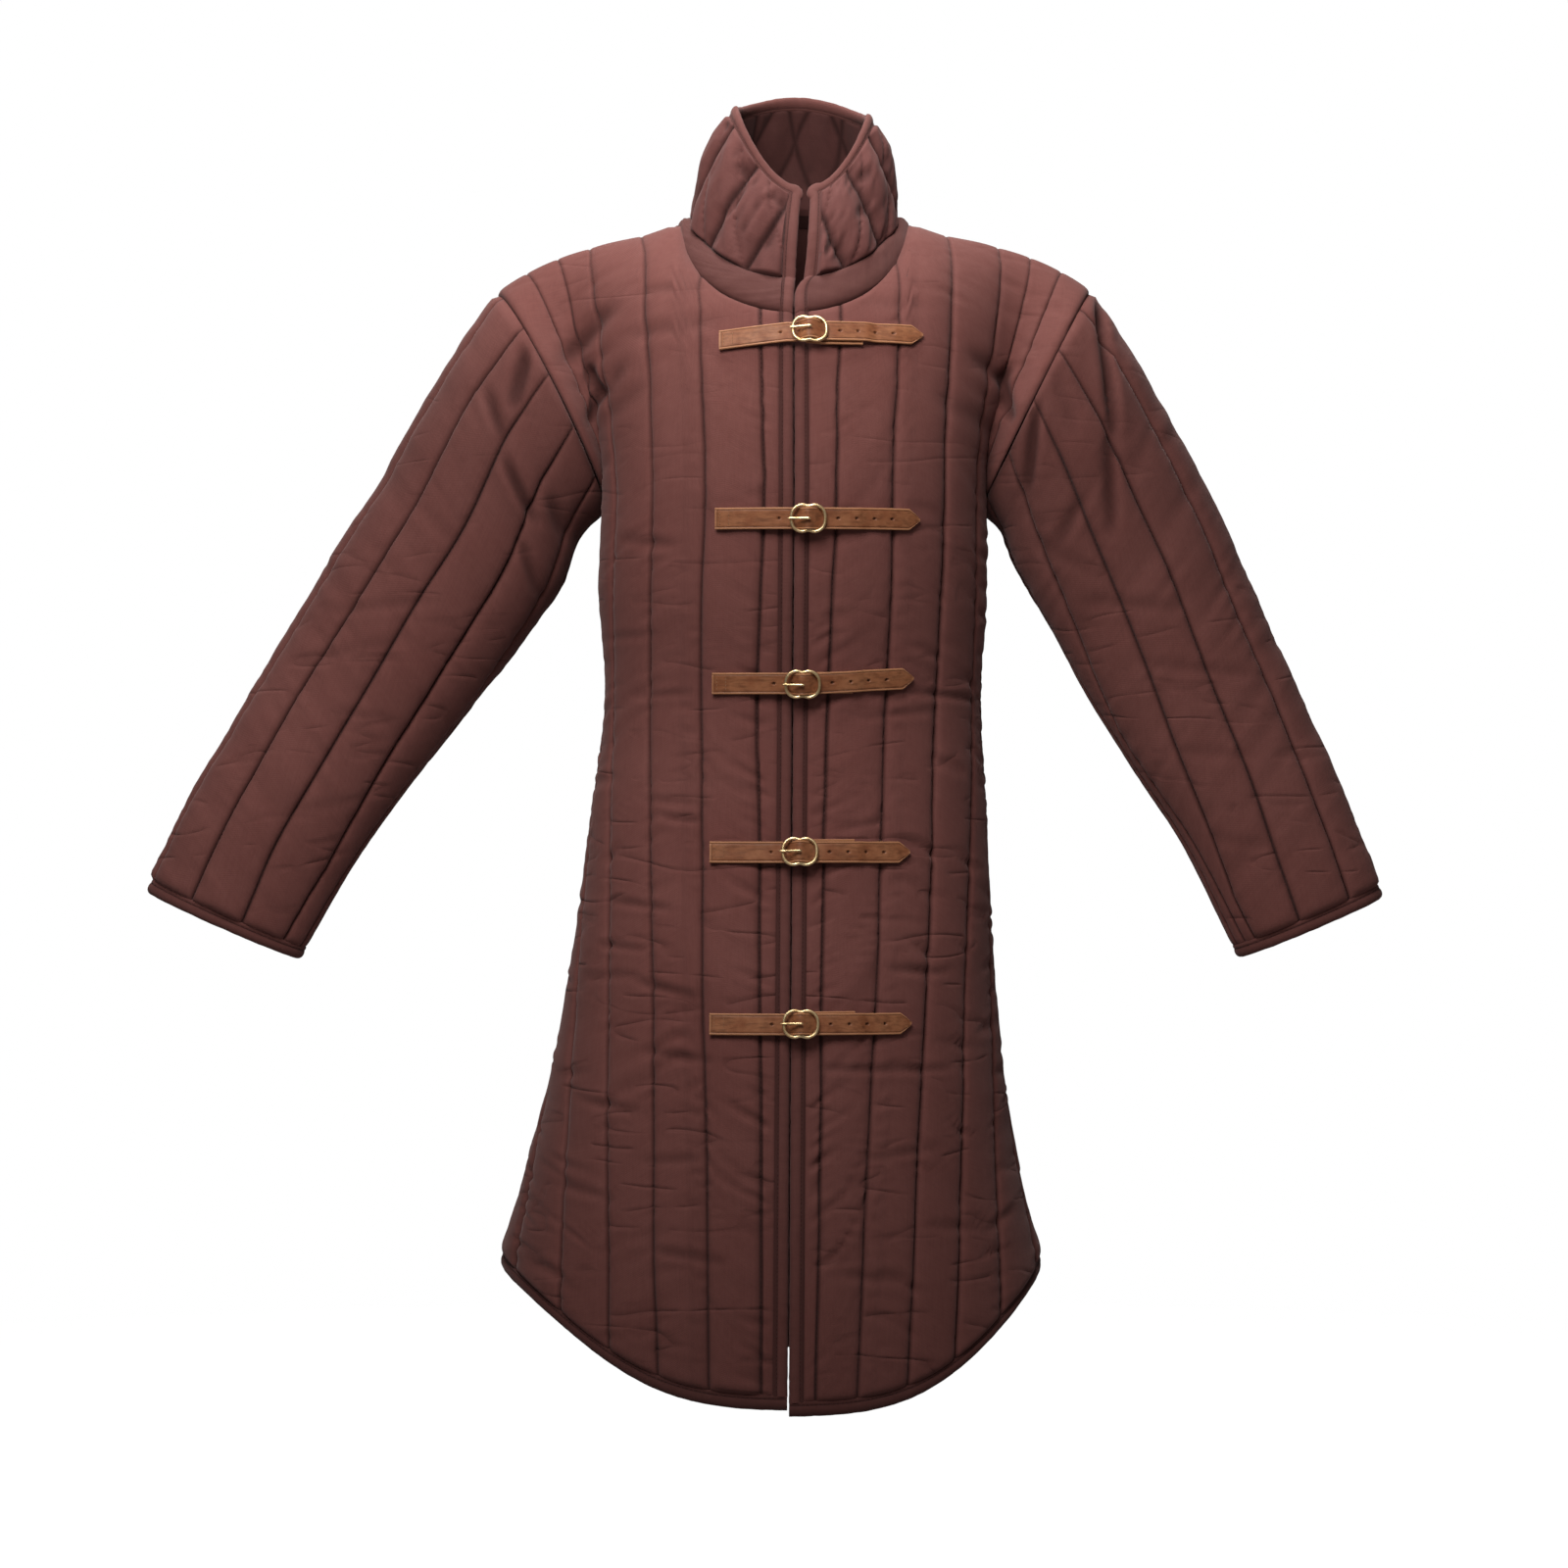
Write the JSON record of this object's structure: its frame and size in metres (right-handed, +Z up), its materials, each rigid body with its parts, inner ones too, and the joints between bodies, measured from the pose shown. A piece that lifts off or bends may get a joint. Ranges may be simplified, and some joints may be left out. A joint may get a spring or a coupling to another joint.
{
  "type": "gambeson",
  "caption": "Quilted padded coat with a stand collar, long sleeves, flared rounded skirt with side vents and a front closed by buckled leather straps.",
  "frame": {"origin": "middle of the shoulder line, where the wearer's shoulders carry the coat", "axes": "+X to the wearer's left, +Y to the back, +Z up"},
  "size_m": [1.0686, 0.3936, 1.1221],
  "materials": {
    "quilted_cotton": "matt woven cotton, quilted in narrow channels",
    "cotton_binding": "matt folded cotton tape",
    "tan_leather": "smooth tan leather with creased border",
    "brass": "cast brass, softly polished"
  },
  "bodies": {
    "root": {"front_right": "quilted_cotton", "front_left": "quilted_cotton", "back": "quilted_cotton", "sleeve_right": "quilted_cotton", "sleeve_left": "quilted_cotton", "collar": "quilted_cotton", "neck_band": "cotton_binding", "collar_binding": "cotton_binding", "edge_binding_right": "cotton_binding", "edge_binding_left": "cotton_binding", "hem_binding_front_right": "cotton_binding", "hem_binding_front_left": "cotton_binding", "hem_binding_back": "cotton_binding", "cuff_binding_right": "cotton_binding", "cuff_binding_left": "cotton_binding", "strap_1": "tan_leather", "strap_2": "tan_leather", "strap_3": "tan_leather", "strap_4": "tan_leather", "strap_5": "tan_leather", "buckle_strap_1": "tan_leather", "buckle_strap_2": "tan_leather", "buckle_strap_3": "tan_leather", "buckle_strap_4": "tan_leather", "buckle_strap_5": "tan_leather", "buckle_1": "brass", "buckle_2": "brass", "buckle_3": "brass", "buckle_4": "brass", "buckle_5": "brass", "prong_1": "brass", "prong_2": "brass", "prong_3": "brass", "prong_4": "brass", "prong_5": "brass"}
  },
  "joints": []
}
